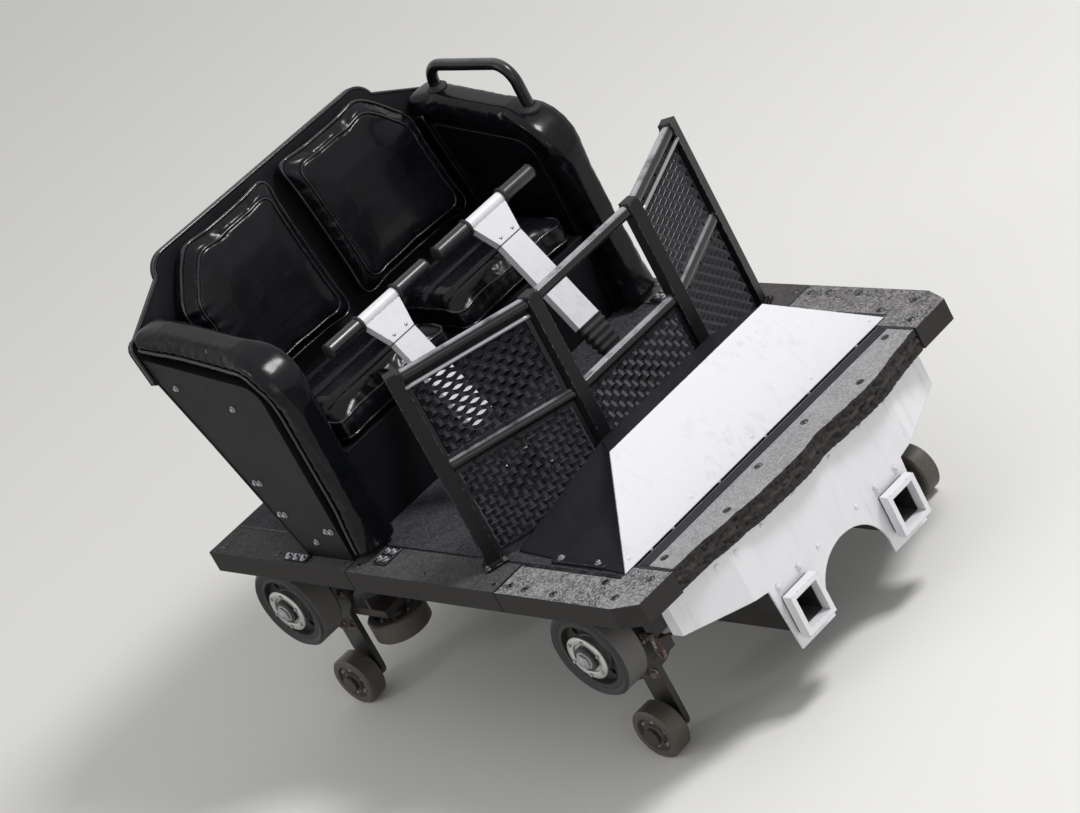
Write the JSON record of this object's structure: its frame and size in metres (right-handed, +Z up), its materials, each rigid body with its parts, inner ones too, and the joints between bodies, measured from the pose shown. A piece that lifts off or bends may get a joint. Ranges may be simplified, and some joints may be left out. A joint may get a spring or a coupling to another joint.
{
  "type": "roller coaster car",
  "caption": "Lead car of a wooden roller coaster train: two padded seats side by side, lap bars, steel guard, white nose, and road, guide and up-stop wheels.",
  "frame": {"origin": "middle of the car's length and width, on the floor under its up-stop wheels", "axes": "+X forward, +Y to the riders' left, +Z up"},
  "size_m": [1.8, 1.23, 1.329],
  "materials": {
    "chassis_steel": "worn dark paint",
    "tyre_urethane": "dull",
    "hub_aluminium": "cast, dusty",
    "small_wheel": "satin",
    "floor_plate": "satin with grit",
    "grit_pad": "speckled anti-slip grit",
    "white_paint": "gloss enamel",
    "black_mesh": "powder coat",
    "black_tube": "satin powder coat",
    "charcoal_shell": "satin",
    "black_vinyl": "soft sheen",
    "grip_rubber": "matt",
    "bare_steel": "worn"
  },
  "bodies": {
    "car": {"frame_rails": "chassis_steel", "cross_members": "chassis_steel", "deck_risers": "chassis_steel", "deck_bearers": "chassis_steel", "axle_front": "chassis_steel", "axle_rear": "chassis_steel", "carriers_front": "chassis_steel", "carriers_rear": "chassis_steel", "deck": "floor_plate", "edge_pads": "grit_pad", "front_step": "grit_pad", "nose_plate": "white_paint", "nose_sides": "black_mesh", "fascia": "white_paint", "tube_ends": "white_paint", "guard_posts": "black_tube", "guard_tubes": "black_tube", "guard_mesh": "black_mesh", "seat_base": "charcoal_shell", "seat_shell": "charcoal_shell", "side_panels": "charcoal_shell", "seat_cushions": "black_vinyl", "back_cushions": "black_vinyl", "side_bolsters": "black_vinyl", "grab_rail": "black_tube", "bar_mounts": "black_tube", "rear_coupling": "chassis_steel", "brake_fin": "bare_steel"},
    "road_wheel_fl": {"tyre_fl": "tyre_urethane", "hub_fl": "hub_aluminium"},
    "guide_wheel_fl": {"guide_wheel_fl": "small_wheel"},
    "upstop_wheel_fl": {"upstop_wheel_fl": "small_wheel"},
    "road_wheel_fr": {"tyre_fr": "tyre_urethane", "hub_fr": "hub_aluminium"},
    "guide_wheel_fr": {"guide_wheel_fr": "small_wheel"},
    "upstop_wheel_fr": {"upstop_wheel_fr": "small_wheel"},
    "road_wheel_rl": {"tyre_rl": "tyre_urethane", "hub_rl": "hub_aluminium"},
    "guide_wheel_rl": {"guide_wheel_rl": "small_wheel"},
    "upstop_wheel_rl": {"upstop_wheel_rl": "small_wheel"},
    "road_wheel_rr": {"tyre_rr": "tyre_urethane", "hub_rr": "hub_aluminium"},
    "guide_wheel_rr": {"guide_wheel_rr": "small_wheel"},
    "upstop_wheel_rr": {"upstop_wheel_rr": "small_wheel"},
    "lap_bar_left": {"lap_bar_left": "white_paint", "bar_grips_left": "grip_rubber"},
    "lap_bar_right": {"lap_bar_right": "white_paint", "bar_grips_right": "grip_rubber"}
  },
  "joints": [
    {"name": "road_spin_fl", "type": "hinge", "parent": "car", "child": "road_wheel_fl", "pos_m": [0.551, 0.545, 0.355], "axis": [0, 1, 0], "continuous": true},
    {"name": "guide_spin_fl", "type": "hinge", "parent": "car", "child": "guide_wheel_fl", "pos_m": [0.421, 0.385, 0.1875], "axis": [0, 0, 1], "continuous": true},
    {"name": "upstop_spin_fl", "type": "hinge", "parent": "car", "child": "upstop_wheel_fl", "pos_m": [0.551, 0.5025, 0.07], "axis": [0, 1, 0], "continuous": true},
    {"name": "road_spin_fr", "type": "hinge", "parent": "car", "child": "road_wheel_fr", "pos_m": [0.551, -0.545, 0.355], "axis": [0, 1, 0], "continuous": true},
    {"name": "guide_spin_fr", "type": "hinge", "parent": "car", "child": "guide_wheel_fr", "pos_m": [0.421, -0.385, 0.1875], "axis": [0, 0, 1], "continuous": true},
    {"name": "upstop_spin_fr", "type": "hinge", "parent": "car", "child": "upstop_wheel_fr", "pos_m": [0.551, -0.5025, 0.07], "axis": [0, 1, 0], "continuous": true},
    {"name": "road_spin_rl", "type": "hinge", "parent": "car", "child": "road_wheel_rl", "pos_m": [-0.629, 0.545, 0.355], "axis": [0, 1, 0], "continuous": true},
    {"name": "guide_spin_rl", "type": "hinge", "parent": "car", "child": "guide_wheel_rl", "pos_m": [-0.499, 0.385, 0.1875], "axis": [0, 0, 1], "continuous": true},
    {"name": "upstop_spin_rl", "type": "hinge", "parent": "car", "child": "upstop_wheel_rl", "pos_m": [-0.629, 0.5025, 0.07], "axis": [0, 1, 0], "continuous": true},
    {"name": "road_spin_rr", "type": "hinge", "parent": "car", "child": "road_wheel_rr", "pos_m": [-0.629, -0.545, 0.355], "axis": [0, 1, 0], "continuous": true},
    {"name": "guide_spin_rr", "type": "hinge", "parent": "car", "child": "guide_wheel_rr", "pos_m": [-0.499, -0.385, 0.1875], "axis": [0, 0, 1], "continuous": true},
    {"name": "upstop_spin_rr", "type": "hinge", "parent": "car", "child": "upstop_wheel_rr", "pos_m": [-0.629, -0.5025, 0.07], "axis": [0, 1, 0], "continuous": true},
    {"name": "lap_bar_hinge_left", "type": "hinge", "parent": "car", "child": "lap_bar_left", "pos_m": [0.09, 0.203, 0.612], "axis": [0, 1, 0], "range_deg": [-10, 42]},
    {"name": "lap_bar_hinge_right", "type": "hinge", "parent": "car", "child": "lap_bar_right", "pos_m": [0.09, -0.203, 0.612], "axis": [0, 1, 0], "range_deg": [-10, 42]}
  ]
}
